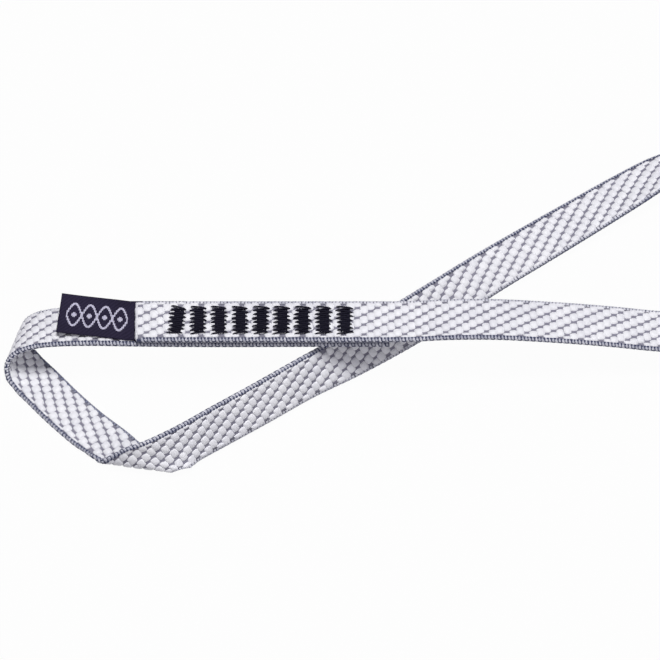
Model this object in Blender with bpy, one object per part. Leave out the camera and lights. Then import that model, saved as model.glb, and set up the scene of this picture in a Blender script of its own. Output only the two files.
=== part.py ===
"""A sewn sling of flat woven webbing, laid down in a loose loop, with its woven label.

Lengths are in metres and +Z is up. The loop lies on the plane Z = 0. The sewn leg runs along X, its free
upper end and the label point to -X, and the origin is under the middle of the whole.
"""

import math

import bmesh
import bpy
import numpy as np
from mathutils import Matrix, Vector

# Clearances
CLEARANCE = 0.0003  # left between pieces that touch on the real sling
OVERRUN = 0.0003  # how far a cutter reaches past what it cuts

# Webbing
WEBBING_WIDTH = 0.011
WEBBING_THICKNESS = 0.0013
WEBBING_EDGE = 0.0004  # how far the rounding of each long edge reaches in
WEBBING_COLOUR = (0.60, 0.61, 0.66)

# Label
LABEL_WIDTH = 0.0106
LABEL_THICKNESS = 0.0003
LABEL_REACH = 0.0184  # from the webbing's upper end to the middle of the label's far edge
LABEL_SEWN = 0.0115  # how far the label reaches in between the layers
LABEL_SIDE_STEP = 0.0009  # the label lies this much to the far side of the webbing's middle
LABEL_YAW = math.radians(7.2)  # how far the free part turns away from the webbing
LABEL_BEND_OUT = 0.002  # from the webbing's upper end to the line where the label bends
LABEL_BEND_HALF = 0.00035  # the bend's half length, left open between the two parts
LABEL_COLOUR = (0.012, 0.012, 0.030)

# Bar tacks
TACK_COUNT = 9
TACK_PITCH = 0.00493
TACK_FIRST = 0.00945  # from the webbing's upper end to the middle of the first tack
TACK_LENGTH = 0.0037  # along the webbing
TACK_WIDTH = 0.0075  # across the webbing
TACK_TEETH = 7  # turns of the zigzag on each side
TACK_TOOTH = 0.0005  # how far each turn stands out
FIRST_TACK_SLANT = math.radians(-8)
THREAD_THICKNESS = 0.0005
THREAD_LEG = 0.0006  # side of the bundle of thread that goes down through the webbing
LEG_ALONG = 0.0012  # from the tack's middle to its legs, along the webbing
LEG_ACROSS = 0.0026  # and across it
THREAD_COLOUR = (0.010, 0.010, 0.022)

# Layers of the sewn leg
LAYER_PITCH = WEBBING_THICKNESS + LABEL_THICKNESS + 2 * CLEARANCE

# Route of the webbing's middle line, from its lower end round the loop to its upper end. Each row holds
# X and Y in route units, the height in widths of the webbing, how many layers are below it, and where the
# webbing's first edge lies from its middle: its compass direction and its rise, both in degrees.
ROUTE_UNIT = 0.001
ROUTE_MIDDLE = (42.65, 3.90)  # the point of the route's own X and Y that is above the origin
ROUTE = [
    # the lower layer, under the upper one and then under the label
    (14.0, -5.5, 1.00, 0, -90, 0),
    (7.0, -5.5, 1.00, 0, -90, 0),
    (-42.0, -5.5, 1.00, 0, -90, 0),
    (-48.5, -5.4, 1.00, 0, -91, 0),
    (-56.0, -5.2, 0.98, 0, -95, 1),
    (-62.8, -5.1, 0.92, 0, -103, 3),
    (-67.2, -5.2, 0.86, 0, -108, 4),
    # the wide turn that brings it down to the ground
    (-70.7, -5.6, 0.77, 0, -109, 4),
    (-73.2, -6.3, 0.62, 0, -109, 4),
    (-74.4, -7.5, 0.41, 0, -109, 3),
    (-74.0, -9.2, 0.21, 0, -110, 2),
    (-71.7, -12.0, 0.09, 0, -113, 0),
    (-68.2, -15.8, 0.05, 0, -120, 0),
    # flat on the ground, its inner face up
    (-63.0, -21.6, 0.05, 0, -135, 0),
    (-57.8, -26.8, 0.05, 0, -142, 0),
    (-52.0, -31.9, 0.05, 0, -168, 0),
    (-47.6, -36.3, 0.05, 0, 172, 0),
    # the slanted fold
    (-46.4, -37.5, 0.095, 0, 172, 1),
    (-45.2, -38.1, 0.17, 0, 172, 3),
    (-43.5, -37.9, 0.26, 0, 172, 7),
    (-41.3, -37.3, 0.32, 0, 172, 14),
    (-38.0, -36.2, 0.40, 0, 170, 29),
    (-33.9, -34.1, 0.45, 0, 154, 48),
    # leaning on its lower edge, it passes under the sewn leg
    (-26.2, -29.2, 0.45, 0, 122, 53),
    (-15.8, -22.6, 0.45, 0, 122, 53),
    (-5.8, -16.0, 0.44, 0, 125, 53),
    (5.0, -9.4, 0.41, 0, 128, 43),
    (15.4, -2.5, 0.38, 0, 130, 33),
    (25.9, 5.3, 0.32, 0, 125, 21),
    (38.4, 14.9, 0.24, 0, 124, 10),
    (49.1, 22.4, 0.21, 0, 125, 5),
    (59.3, 29.4, 0.20, 0, 123, -1),
    (69.8, 36.3, 0.24, 0, 122, -8),
    # it rises on its edge and turns back
    (80.5, 43.0, 0.28, 0, 119, -22),
    (92.5, 47.2, 0.44, 0, 100, -50),
    (104.5, 46.0, 0.505, 0, 68, -80),
    (114.0, 38.5, 0.50, 0, 38, -90),
    (119.5, 27.5, 0.50, 0, 18, -75),
    (121.5, 16.0, 0.39, 0, 6, -40),
    # flat, it passes under the sewn leg's long end
    (122.0, 5.0, 0.18, 0, 2, -12),
    (122.2, -5.0, 0.08, 0, 0, 0),
    (122.6, -14.0, 0.18, 0, 4, -12),
    (124.5, -27.0, 0.45, 0, 15, -55),
    # a small loop that stands on its edge
    (130.5, -37.0, 0.505, 0, 45, -85),
    (141.0, -42.3, 0.50, 0, 82, -90),
    (152.0, -40.5, 0.50, 0, 115, -90),
    (159.5, -32.0, 0.50, 0, 152, -90),
    (161.5, -21.0, 0.50, 0, 180, -90),
    (157.0, -11.0, 0.50, 0, 220, -90),
    (147.5, -5.6, 0.50, 0, 252, -75),
    # it lies over and climbs onto the sewn leg as the upper layer
    (136.0, -4.8, 0.44, 0, 270, -42),
    (126.0, -4.8, 0.41, 0, 270, -15),
    (115.0, -4.8, 0.42, 0, 270, -3),
    (103.0, -4.8, 0.49, 0, 270, 0),
    (90.5, -4.8, 0.58, 0, 270, 0),
    (78.0, -4.8, 0.68, 0, 270, 0),
    (66.0, -4.9, 0.90, 0, 270, 0),
    (52.0, -5.0, 1.10, 0, 270, 0),
    (37.5, -5.2, 1.05, 1, 270, 0),
    (26.0, -5.4, 1.055, 1, 270, 0),
    (20.0, -5.5, 1.015, 1, 270, 0),
    (14.0, -5.5, 1.00, 1, 270, 0),
    (7.0, -5.5, 1.00, 1, 270, 0),
    (-45.5, -5.5, 1.00, 1, 270, 0),
]
TURN_STEP = math.radians(9)  # the most that the webbing turns from one section to the next
LEAST_SKEW_COSINE = 0.64  # how slanted a fold can be before the webbing would be drawn too wide

# The sewn leg, from the route's first and last rows
LEG_HEIGHT = WEBBING_WIDTH + LAYER_PITCH / 2  # the middle of the gap between the two layers
UPPER_END_X = (ROUTE[-1][0] - ROUTE_MIDDLE[0]) * ROUTE_UNIT
LEG_Y = (ROUTE[-1][1] - ROUTE_MIDDLE[1]) * ROUTE_UNIT
LEG_HALF = LAYER_PITCH / 2 + WEBBING_THICKNESS / 2  # from that middle to the leg's upper face


def clear_scene():
    for thing in list(bpy.data.objects):
        bpy.data.objects.remove(thing)


def material(name, colour, roughness):
    made = bpy.data.materials.new(name)
    made.use_nodes = True
    surface = made.node_tree.nodes["Principled BSDF"]
    surface.inputs["Base Color"].default_value = (*colour, 1.0)
    surface.inputs["Roughness"].default_value = roughness
    surface.inputs["Metallic"].default_value = 0.0
    return made


def add_object(name, mesh, finish=None, location=(0, 0, 0), turn=0.0):
    made = bpy.data.objects.new(name, mesh)
    made.location = location
    made.rotation_euler = (0, 0, turn)
    if finish:
        mesh.materials.clear()
        mesh.materials.append(finish)
    bpy.context.scene.collection.objects.link(made)
    return made


def mesh_from(build, name):
    """A mesh whose faces point out, from a bmesh."""
    bmesh.ops.recalc_face_normals(build, faces=build.faces)
    mesh = bpy.data.meshes.new(name)
    build.to_mesh(mesh)
    build.free()
    return mesh


def hide_guide(guide):
    guide.hide_render = True
    guide.display_type = "WIRE"


def cut_with(target, cutter, operation="DIFFERENCE"):
    change = target.modifiers.new(cutter.name, "BOOLEAN")
    change.object = cutter
    change.operation = operation
    change.solver = "EXACT"


def through_points(knots, values, places):
    """A smooth curve through the values at the knots, read at the places along it."""
    gaps = np.diff(knots)
    slopes = np.diff(values, axis=0) / gaps[:, None]
    rates = np.empty_like(values)
    rates[0] = slopes[0]
    rates[-1] = slopes[-1]
    both = (gaps[:-1] + gaps[1:])[:, None]
    rates[1:-1] = (slopes[:-1] * gaps[1:, None] + slopes[1:] * gaps[:-1, None]) / both
    left = np.clip(np.searchsorted(knots, places, side="right") - 1, 0, len(knots) - 2)
    gap = gaps[left][:, None]
    share = (places[:, None] - knots[left][:, None]) / gap
    square = share * share
    cube = square * share
    from_left = (2 * cube - 3 * square + 1) * values[left] + (cube - 2 * square + share) * gap * rates[left]
    to_right = (3 * square - 2 * cube) * values[left + 1] + (cube - square) * gap * rates[left + 1]
    return from_left + to_right


def unit(vectors):
    return vectors / np.linalg.norm(vectors, axis=1)[:, None]


def route_knots():
    """The route's middle points, the directions to its first edge, and the distances along it."""
    middles = []
    across = []
    for x, y, height, layers, compass, rise in ROUTE:
        level = height * WEBBING_WIDTH + layers * LAYER_PITCH
        middles.append(((x - ROUTE_MIDDLE[0]) * ROUTE_UNIT, (y - ROUTE_MIDDLE[1]) * ROUTE_UNIT, level))
        flat = math.cos(math.radians(rise))
        around = math.radians(compass)
        across.append((flat * math.cos(around), flat * math.sin(around), math.sin(math.radians(rise))))
    middles = np.array(middles)
    steps = np.linalg.norm(np.diff(middles, axis=0), axis=1)
    return middles, np.array(across), np.concatenate([[0.0], np.cumsum(steps)])


def section_places(middles, across, knots):
    """Distances along the route, closer together where the webbing turns or rolls."""
    probe = WEBBING_THICKNESS * 0.01
    before = through_points(knots, middles, np.clip(knots - probe, 0, knots[-1]))
    after = through_points(knots, middles, np.clip(knots + probe, 0, knots[-1]))
    headings = unit(after - before)
    places = []
    for i in range(len(knots) - 1):
        bend = math.acos(min(1.0, float(headings[i] @ headings[i + 1])))
        roll = math.acos(min(1.0, float(across[i] @ across[i + 1])))
        count = max(1, math.ceil(max(bend, roll) / TURN_STEP))
        places.extend(np.linspace(knots[i], knots[i + 1], count, endpoint=False))
    return np.array([*places, knots[-1]])


def webbing_sections():
    """The eight corners of each section, in order along the route."""
    middles, across, knots = route_knots()
    places = section_places(middles, across, knots)
    probe = WEBBING_THICKNESS * 0.01
    before = through_points(knots, middles, np.clip(places - probe, 0, knots[-1]))
    after = through_points(knots, middles, np.clip(places + probe, 0, knots[-1]))
    heading = unit(after - before)
    side = unit(through_points(knots, across, places))
    outward = np.cross(heading, side)
    skew = np.linalg.norm(outward, axis=1)
    outward = outward / skew[:, None]
    stretch = 1 / np.maximum(skew, LEAST_SKEW_COSINE)
    half_width = WEBBING_WIDTH / 2
    half_thick = WEBBING_THICKNESS / 2
    flat = half_width - WEBBING_EDGE
    wall = half_thick - WEBBING_EDGE
    outline = [
        (half_width, -wall),
        (half_width, wall),
        (flat, half_thick),
        (-flat, half_thick),
        (-half_width, wall),
        (-half_width, -wall),
        (-flat, -half_thick),
        (flat, -half_thick),
    ]
    centre = through_points(knots, middles, places)
    corners = [
        centre + side * (over * stretch)[:, None] + outward * up
        for over, up in outline
    ]
    sections = np.stack(corners, axis=1)
    # nothing lies below the ground, so a section that would is lifted onto it
    lift = np.maximum(0.0, -sections[:, :, 2].min(axis=1))
    sections[:, :, 2] += lift[:, None]
    return sections


def ribbon_mesh(sections):
    """One closed strip through all the sections."""
    build = bmesh.new()
    rings = [[build.verts.new(corner) for corner in section] for section in sections]
    around = len(rings[0])
    for here, there in zip(rings, rings[1:]):
        for i in range(around):
            j = (i + 1) % around
            build.faces.new((here[i], here[j], there[j], there[i]))
    build.faces.new(rings[0])
    build.faces.new(rings[-1])
    return mesh_from(build, "webbing")


def add_block(build, centre, size, turn=0.0):
    """A box in a bmesh, turned about the vertical line through its centre."""
    place = Matrix.Translation(centre) @ Matrix.Rotation(turn, 4, "Z") @ Matrix.Diagonal((*size, 1.0))
    bmesh.ops.create_cube(build, size=1.0, matrix=place)


def prism_mesh(name, outline, low, high):
    """A closed solid over a flat outline."""
    build = bmesh.new()
    base = build.faces.new([build.verts.new((x, y, low)) for x, y in outline])
    grown = bmesh.ops.extrude_face_region(build, geom=[base])
    raised = [item for item in grown["geom"] if isinstance(item, bmesh.types.BMVert)]
    bmesh.ops.translate(build, verts=raised, vec=(0, 0, high - low))
    return mesh_from(build, name)


def tack_places():
    """The middle of each bar tack and its slant."""
    places = []
    for i in range(TACK_COUNT):
        x = UPPER_END_X + TACK_FIRST + i * TACK_PITCH
        slant = FIRST_TACK_SLANT if i == 0 else 0.0
        places.append((Vector((x, LEG_Y, LEG_HEIGHT)), slant))
    return places


def leg_places():
    """Where a tack's legs go down, from the tack's middle."""
    return [(x * LEG_ALONG, y * LEG_ACROSS) for x in (-1, 1) for y in (-1, 1)]


def stitch_hole_cutter():
    build = bmesh.new()
    side = THREAD_LEG + 2 * CLEARANCE
    height = 2 * (LEG_HALF + OVERRUN)
    for middle, slant in tack_places():
        for x, y in leg_places():
            out = Matrix.Rotation(slant, 3, "Z") @ Vector((x, y, 0))
            add_block(build, middle + out, (side, side, height), slant)
    cutter = add_object("stitch_holes", mesh_from(build, "stitch_holes"))
    hide_guide(cutter)
    return cutter


def zigzag_outline():
    """The outline of a bar tack, whose two long sides turn back and forth."""
    turns = 2 * TACK_TEETH
    near = []
    far = []
    for i in range(turns + 1):
        y = TACK_WIDTH * (i / turns - 0.5)
        inset = TACK_TOOTH * (i % 2)
        near.append((TACK_LENGTH / 2 - inset, y))
        far.append((-TACK_LENGTH / 2 + inset, -y))
    return near + far


def thread_mesh():
    """One thread of a bar tack: the part that shows, and its legs down to the middle of the webbing."""
    low = LEG_HALF + CLEARANCE
    pad = add_object("pad", prism_mesh("pad", zigzag_outline(), low, low + THREAD_THICKNESS))
    build = bmesh.new()
    bottom = CLEARANCE / 2
    top = low + THREAD_THICKNESS / 2
    for x, y in leg_places():
        add_block(build, (x, y, (bottom + top) / 2), (THREAD_LEG, THREAD_LEG, top - bottom))
    legs = add_object("legs", mesh_from(build, "legs"))
    cut_with(pad, legs, "UNION")
    ready = pad.evaluated_get(bpy.context.evaluated_depsgraph_get())
    mesh = bpy.data.meshes.new_from_object(ready)
    bpy.data.objects.remove(pad)
    bpy.data.objects.remove(legs)
    return mesh


def make_threads(finish):
    mesh = thread_mesh()
    for i, (middle, slant) in enumerate(tack_places(), start=1):
        add_object(f"needle_thread_{i}", mesh, finish, middle, slant)
        bobbin = add_object(f"bobbin_thread_{i}", mesh, finish, middle)
        bobbin.rotation_euler = (math.pi, 0, slant)


def make_webbing(cutter, finish):
    webbing = add_object("webbing", ribbon_mesh(webbing_sections()), finish)
    cut_with(webbing, cutter)


def label_bend_x():
    return UPPER_END_X - LABEL_BEND_OUT


def make_label_tail(cutter, finish):
    """The label's sewn end, flat between the two layers, with its stitch holes."""
    near = UPPER_END_X + LABEL_SEWN
    far = label_bend_x() + LABEL_BEND_HALF
    y = LEG_Y + LABEL_SIDE_STEP
    half = LABEL_WIDTH / 2
    outline = [(far, y - half), (near, y - half), (near, y + half), (far, y + half)]
    half_thick = LABEL_THICKNESS / 2
    mesh = prism_mesh("label_tail", outline, LEG_HEIGHT - half_thick, LEG_HEIGHT + half_thick)
    cut_with(add_object("label_tail", mesh, finish), cutter)


def make_label_flag(finish):
    """The label's free part, turned a little aside. Its origin is on the line where the label bends."""
    near = -LABEL_BEND_HALF
    aside = math.tan(LABEL_YAW)
    slanted_half = LABEL_WIDTH / 2 / math.cos(LABEL_YAW)
    far = LABEL_BEND_OUT - LABEL_REACH
    corner_x = LABEL_WIDTH / 2 * math.sin(LABEL_YAW)
    corner_y = LABEL_WIDTH / 2 * math.cos(LABEL_YAW)
    outline = [
        (near, -near * aside - slanted_half),
        (near, -near * aside + slanted_half),
        (far + corner_x, -far * aside + corner_y),
        (far - corner_x, -far * aside - corner_y),
    ]
    half_thick = LABEL_THICKNESS / 2
    mesh = prism_mesh("label_flag", outline, -half_thick, half_thick)
    place = (label_bend_x(), LEG_Y + LABEL_SIDE_STEP, LEG_HEIGHT)
    add_object("label_flag", mesh, finish, place)


def main():
    clear_scene()
    woven = material("woven_webbing", WEBBING_COLOUR, 0.75)
    thread = material("sewing_thread", THREAD_COLOUR, 0.60)
    label = material("label_cloth", LABEL_COLOUR, 0.80)
    holes = stitch_hole_cutter()
    make_webbing(holes, woven)
    make_threads(thread)
    make_label_tail(holes, label)
    make_label_flag(label)


main()
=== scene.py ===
# %% [markdown]
# # A sewn sling of flat polyethylene webbing
#
# The sling is one length of narrow woven tape. Its two ends lie over each other and nine bar tacks of black
# thread hold them, so it makes a closed loop. A small woven label is caught under the first tack.
# Everything here is woven or sewn, so the lesson is about cloth: each part is made flat, as a loom makes it,
# and is then laid along the loose loop that the tape really lies in.

# %% The frame that everything fits into
import math

import bmesh
import bpy
import numpy as np
from mathutils import Matrix, Vector


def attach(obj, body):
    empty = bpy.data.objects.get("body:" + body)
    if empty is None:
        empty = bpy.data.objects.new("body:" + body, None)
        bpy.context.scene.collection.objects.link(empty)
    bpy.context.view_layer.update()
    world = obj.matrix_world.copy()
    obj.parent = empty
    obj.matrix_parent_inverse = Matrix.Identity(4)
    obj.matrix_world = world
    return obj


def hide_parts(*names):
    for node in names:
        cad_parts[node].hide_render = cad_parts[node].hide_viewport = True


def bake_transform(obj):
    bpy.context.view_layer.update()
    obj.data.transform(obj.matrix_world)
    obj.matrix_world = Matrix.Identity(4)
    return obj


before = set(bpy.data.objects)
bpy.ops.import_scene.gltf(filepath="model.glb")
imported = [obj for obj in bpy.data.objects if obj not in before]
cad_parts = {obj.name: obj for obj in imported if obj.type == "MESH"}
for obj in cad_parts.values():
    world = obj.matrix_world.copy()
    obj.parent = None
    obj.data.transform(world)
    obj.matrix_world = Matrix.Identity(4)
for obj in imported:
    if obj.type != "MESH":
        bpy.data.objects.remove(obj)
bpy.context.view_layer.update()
scene = bpy.context.scene

# %% [markdown]
# ## The camera
#
# The tape lies on a table and is looked at from in front and well above. Its parallel edges stay parallel in
# the picture, so the lens is very long and stands far off. A long lens is used and not an orthographic
# camera, because other views move the camera back until the whole loop fits.

# %% Camera
PICTURE_ELEVATION = math.radians(59.5)
PICTURE_MIDDLE = Vector((-0.04265, -0.0039, 0.0))
PICTURE_PIXELS = 660
PIXELS_TO_THE_METRE = 4230
LENS = 1000.0
SENSOR = 36.0
FARTHEST_SEEN = 50.0

towards_camera = Vector((0, -math.cos(PICTURE_ELEVATION), math.sin(PICTURE_ELEVATION)))
camera = bpy.data.objects.new("camera", bpy.data.cameras.new("camera"))
camera.data.lens = LENS
camera.data.sensor_width = SENSOR
camera.data.clip_end = FARTHEST_SEEN
picture_width = PICTURE_PIXELS / PIXELS_TO_THE_METRE
camera.location = PICTURE_MIDDLE + towards_camera * (picture_width * LENS / SENSOR)
camera.rotation_euler = (-towards_camera).to_track_quat("-Z", "Y").to_euler()
scene.collection.objects.link(camera)
scene.camera = camera
print("camera", round(camera.location.length, 2), "m away")

# %% [markdown]
# ## The route of the tape
#
# A tape has a middle line and also a direction across it, because it rolls and leans as it turns. Each row of
# the table is one place on the way: where the middle is, how high it is, and where the first edge points.
# The solid model was made from the same rows, so what is laid along them lies where the solid is.

# %% Route
WEBBING_WIDTH = 0.011
WEBBING_THICKNESS = 0.0013
WEBBING_EDGE = 0.0004
LAYER_PITCH = 0.0022
ROUTE_UNIT = 0.001
ROUTE_MIDDLE = (42.65, 3.90)
ROUTE = [
    # x, y, height in widths of the tape, layers below, compass and rise of the first edge in degrees
    # the lower layer, under the upper one and then under the label
    (14.0, -5.5, 1.00, 0, -90, 0),
    (7.0, -5.5, 1.00, 0, -90, 0),
    (-42.0, -5.5, 1.00, 0, -90, 0),
    (-48.5, -5.4, 1.00, 0, -91, 0),
    (-56.0, -5.2, 0.98, 0, -95, 1),
    (-62.8, -5.1, 0.92, 0, -103, 3),
    (-67.2, -5.2, 0.86, 0, -108, 4),
    # the wide turn that brings it down to the ground
    (-70.7, -5.6, 0.77, 0, -109, 4),
    (-73.2, -6.3, 0.62, 0, -109, 4),
    (-74.4, -7.5, 0.41, 0, -109, 3),
    (-74.0, -9.2, 0.21, 0, -110, 2),
    (-71.7, -12.0, 0.09, 0, -113, 0),
    (-68.2, -15.8, 0.05, 0, -120, 0),
    # flat on the ground, its inner face up
    (-63.0, -21.6, 0.05, 0, -135, 0),
    (-57.8, -26.8, 0.05, 0, -142, 0),
    (-52.0, -31.9, 0.05, 0, -168, 0),
    (-47.6, -36.3, 0.05, 0, 172, 0),
    # the slanted fold
    (-46.4, -37.5, 0.095, 0, 172, 1),
    (-45.2, -38.1, 0.17, 0, 172, 3),
    (-43.5, -37.9, 0.26, 0, 172, 7),
    (-41.3, -37.3, 0.32, 0, 172, 14),
    (-38.0, -36.2, 0.40, 0, 170, 29),
    (-33.9, -34.1, 0.45, 0, 154, 48),
    # leaning on its lower edge, it passes under the sewn leg
    (-26.2, -29.2, 0.45, 0, 122, 53),
    (-15.8, -22.6, 0.45, 0, 122, 53),
    (-5.8, -16.0, 0.44, 0, 125, 53),
    (5.0, -9.4, 0.41, 0, 128, 43),
    (15.4, -2.5, 0.38, 0, 130, 33),
    (25.9, 5.3, 0.32, 0, 125, 21),
    (38.4, 14.9, 0.24, 0, 124, 10),
    (49.1, 22.4, 0.21, 0, 125, 5),
    (59.3, 29.4, 0.20, 0, 123, -1),
    (69.8, 36.3, 0.24, 0, 122, -8),
    # it rises on its edge and turns back
    (80.5, 43.0, 0.28, 0, 119, -22),
    (92.5, 47.2, 0.44, 0, 100, -50),
    (104.5, 46.0, 0.505, 0, 68, -80),
    (114.0, 38.5, 0.50, 0, 38, -90),
    (119.5, 27.5, 0.50, 0, 18, -75),
    (121.5, 16.0, 0.39, 0, 6, -40),
    # flat, it passes under the sewn leg's long end
    (122.0, 5.0, 0.18, 0, 2, -12),
    (122.2, -5.0, 0.08, 0, 0, 0),
    (122.6, -14.0, 0.18, 0, 4, -12),
    (124.5, -27.0, 0.45, 0, 15, -55),
    # a small loop that stands on its edge
    (130.5, -37.0, 0.505, 0, 45, -85),
    (141.0, -42.3, 0.50, 0, 82, -90),
    (152.0, -40.5, 0.50, 0, 115, -90),
    (159.5, -32.0, 0.50, 0, 152, -90),
    (161.5, -21.0, 0.50, 0, 180, -90),
    (157.0, -11.0, 0.50, 0, 220, -90),
    (147.5, -5.6, 0.50, 0, 252, -75),
    # it lies over and climbs onto the sewn leg as the upper layer
    (136.0, -4.8, 0.44, 0, 270, -42),
    (126.0, -4.8, 0.41, 0, 270, -15),
    (115.0, -4.8, 0.42, 0, 270, -3),
    (103.0, -4.8, 0.49, 0, 270, 0),
    (90.5, -4.8, 0.58, 0, 270, 0),
    (78.0, -4.8, 0.68, 0, 270, 0),
    (66.0, -4.9, 0.90, 0, 270, 0),
    (52.0, -5.0, 1.10, 0, 270, 0),
    (37.5, -5.2, 1.05, 1, 270, 0),
    (26.0, -5.4, 1.055, 1, 270, 0),
    (20.0, -5.5, 1.015, 1, 270, 0),
    (14.0, -5.5, 1.00, 1, 270, 0),
    (7.0, -5.5, 1.00, 1, 270, 0),
    (-45.5, -5.5, 1.00, 1, 270, 0),
]
LEAST_SKEW_COSINE = 0.64


def through_points(knots, values, places):
    """A smooth curve through the values at the knots, read at the places along it."""
    gaps = np.diff(knots)
    slopes = np.diff(values, axis=0) / gaps[:, None]
    rates = np.empty_like(values)
    rates[0] = slopes[0]
    rates[-1] = slopes[-1]
    both = (gaps[:-1] + gaps[1:])[:, None]
    rates[1:-1] = (slopes[:-1] * gaps[1:, None] + slopes[1:] * gaps[:-1, None]) / both
    left = np.clip(np.searchsorted(knots, places, side="right") - 1, 0, len(knots) - 2)
    gap = gaps[left][:, None]
    share = (places[:, None] - knots[left][:, None]) / gap
    square = share * share
    cube = square * share
    from_left = (2 * cube - 3 * square + 1) * values[left] + (cube - 2 * square + share) * gap * rates[left]
    to_right = (3 * square - 2 * cube) * values[left + 1] + (cube - square) * gap * rates[left + 1]
    return from_left + to_right


def unit(vectors):
    return vectors / np.linalg.norm(vectors, axis=1)[:, None]


def route_knots():
    """The route's middle points, the directions to its first edge, and the distances along it."""
    middles = []
    across = []
    for x, y, height, layers, compass, rise in ROUTE:
        level = height * WEBBING_WIDTH + layers * LAYER_PITCH
        middles.append(((x - ROUTE_MIDDLE[0]) * ROUTE_UNIT, (y - ROUTE_MIDDLE[1]) * ROUTE_UNIT, level))
        flat = math.cos(math.radians(rise))
        around = math.radians(compass)
        across.append((flat * math.cos(around), flat * math.sin(around), math.sin(math.radians(rise))))
    middles = np.array(middles)
    steps = np.linalg.norm(np.diff(middles, axis=0), axis=1)
    return middles, np.array(across), np.concatenate([[0.0], np.cumsum(steps)])


middles, across, knots = route_knots()
TAPE_LENGTH = knots[-1]
print("route:", len(ROUTE), "rows,", round(TAPE_LENGTH * 1000, 1), "mm")

# %% [markdown]
# ## Laying cloth on the route
#
# A place in the flat cloth has three numbers: how far along the tape it is, how far across, and how far it
# stands out from the middle of the tape's thickness. `lay` turns them into a place in the room. The three
# directions at each place are the way the route runs, the way to the first edge, and the way out of the face.
# Where the tape folds on a slant, the first two aren't square to each other. There the cloth is drawn out
# across to keep its width, and slips along by as much as the slant asks, or its yarns would be sheared and
# squashed. A place that would be under the table is lifted onto it, as the solid was.

# %% The way from flat cloth to the room
PROBE = WEBBING_THICKNESS * 0.01
SLIP_STEPS = 1330
SLIP_SPREAD = 9  # steps over which the slip is evened out
SLIP_ROUNDS = 40
LINE_POINTS = 700


def directions(along):
    """The middle line, the ways along, across and out, and the drawing-out, at distances along the tape."""
    before = through_points(knots, middles, np.clip(along - PROBE, 0, TAPE_LENGTH))
    after = through_points(knots, middles, np.clip(along + PROBE, 0, TAPE_LENGTH))
    heading = unit(after - before)
    side = unit(through_points(knots, across, along))
    outward = np.cross(heading, side)
    skew = np.linalg.norm(outward, axis=1)
    outward = outward / skew[:, None]
    stretch = 1 / np.maximum(skew, LEAST_SKEW_COSINE)
    return through_points(knots, middles, along), heading, side, outward, stretch


def slip_table():
    """How far the cloth slips along for each metre across, at even distances along the tape."""
    places = np.linspace(0, TAPE_LENGTH, SLIP_STEPS)
    _, heading, side, _, stretch = directions(places)
    slips = np.sum(heading * side, axis=1) * stretch
    window = np.hanning(SLIP_SPREAD + 2)
    return places, np.convolve(slips, window / window.sum(), mode="same")


slip_places, slips = slip_table()


def route_place(along, over):
    """The distance along the route at which a place of the flat cloth lies."""
    found = along.copy()
    for _ in range(SLIP_ROUNDS):
        found += 0.5 * (along - found - over * np.interp(found, slip_places, slips))
    return np.clip(found, 0, TAPE_LENGTH)


def lift_at(side, outward, stretch, centre):
    """How far a section of the whole tape has to rise to stay on the table."""
    half_width = WEBBING_WIDTH / 2
    half_thick = WEBBING_THICKNESS / 2
    corners = []
    for over, up in ((half_width, half_thick - WEBBING_EDGE), (half_width - WEBBING_EDGE, half_thick)):
        for a in (-1, 1):
            for b in (-1, 1):
                corners.append(centre[:, 2] + side[:, 2] * a * over * stretch + outward[:, 2] * b * up)
    return np.maximum(0.0, -np.min(corners, axis=0))


def lay(flat):
    """Places in the room of flat places: along, across and out."""
    along = np.clip(flat[:, 0], 0, TAPE_LENGTH)
    past_end = flat[:, 0] - along
    centre, heading, side, outward, stretch = directions(route_place(along, flat[:, 1]))
    placed = centre + side * (flat[:, 1] * stretch)[:, None] + outward * flat[:, 2][:, None]
    placed += heading * past_end[:, None]
    placed[:, 2] += lift_at(side, outward, stretch, centre)
    return placed


flat_line = np.zeros((LINE_POINTS, 3))
flat_line[:, 0] = np.linspace(0, TAPE_LENGTH, LINE_POINTS)
middle_line = lay(flat_line)

# %% [markdown]
# ## Tools of the bench
#
# Cloth repeats one small shape thousands of times. Each shape is made once as a bmesh, an Array modifier
# repeats it, and the copies are then spread to their places. The flat place of every point is kept in an
# attribute called `cloth`, in millimetres, so that a finish can follow the yarns round every bend. What is
# left to chance comes from one seed in one fixed order, so every run makes the same sling.

# %% Helpers for meshes
CHANCE_SEED = 11
CHANCE_TONE = 0.25
MILLI = 0.001
TINY = 1e-6
WELD = 1e-7  # points nearer than this become one

rng = np.random.default_rng(CHANCE_SEED)


def chances(*shape, limit=2.0):
    """Random numbers about 0, none of them further off than the limit."""
    return rng.normal(size=shape).clip(-limit, limit)


def mesh_of(build, name):
    mesh = bpy.data.meshes.new(name)
    build.to_mesh(mesh)
    build.free()
    return mesh


def points_of(mesh):
    numbers = np.empty(len(mesh.vertices) * 3, dtype=np.float32)
    mesh.vertices.foreach_get("co", numbers)
    return numbers.reshape(-1, 3).astype(float)


def move_points(mesh, points):
    mesh.vertices.foreach_set("co", points.astype(np.float32).ravel())
    mesh.update()


def note(mesh, flat, tone=None):
    """Keeps the flat place and the tone of every point of a mesh, for its finish to read."""
    if tone is None:
        tone = np.full(len(flat), 0.5)
    cloth = flat / MILLI
    mesh.attributes.new("cloth", "FLOAT_VECTOR", "POINT").data.foreach_set("vector", cloth.ravel())
    mesh.attributes.new("tone", "FLOAT", "POINT").data.foreach_set("value", tone)


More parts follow.
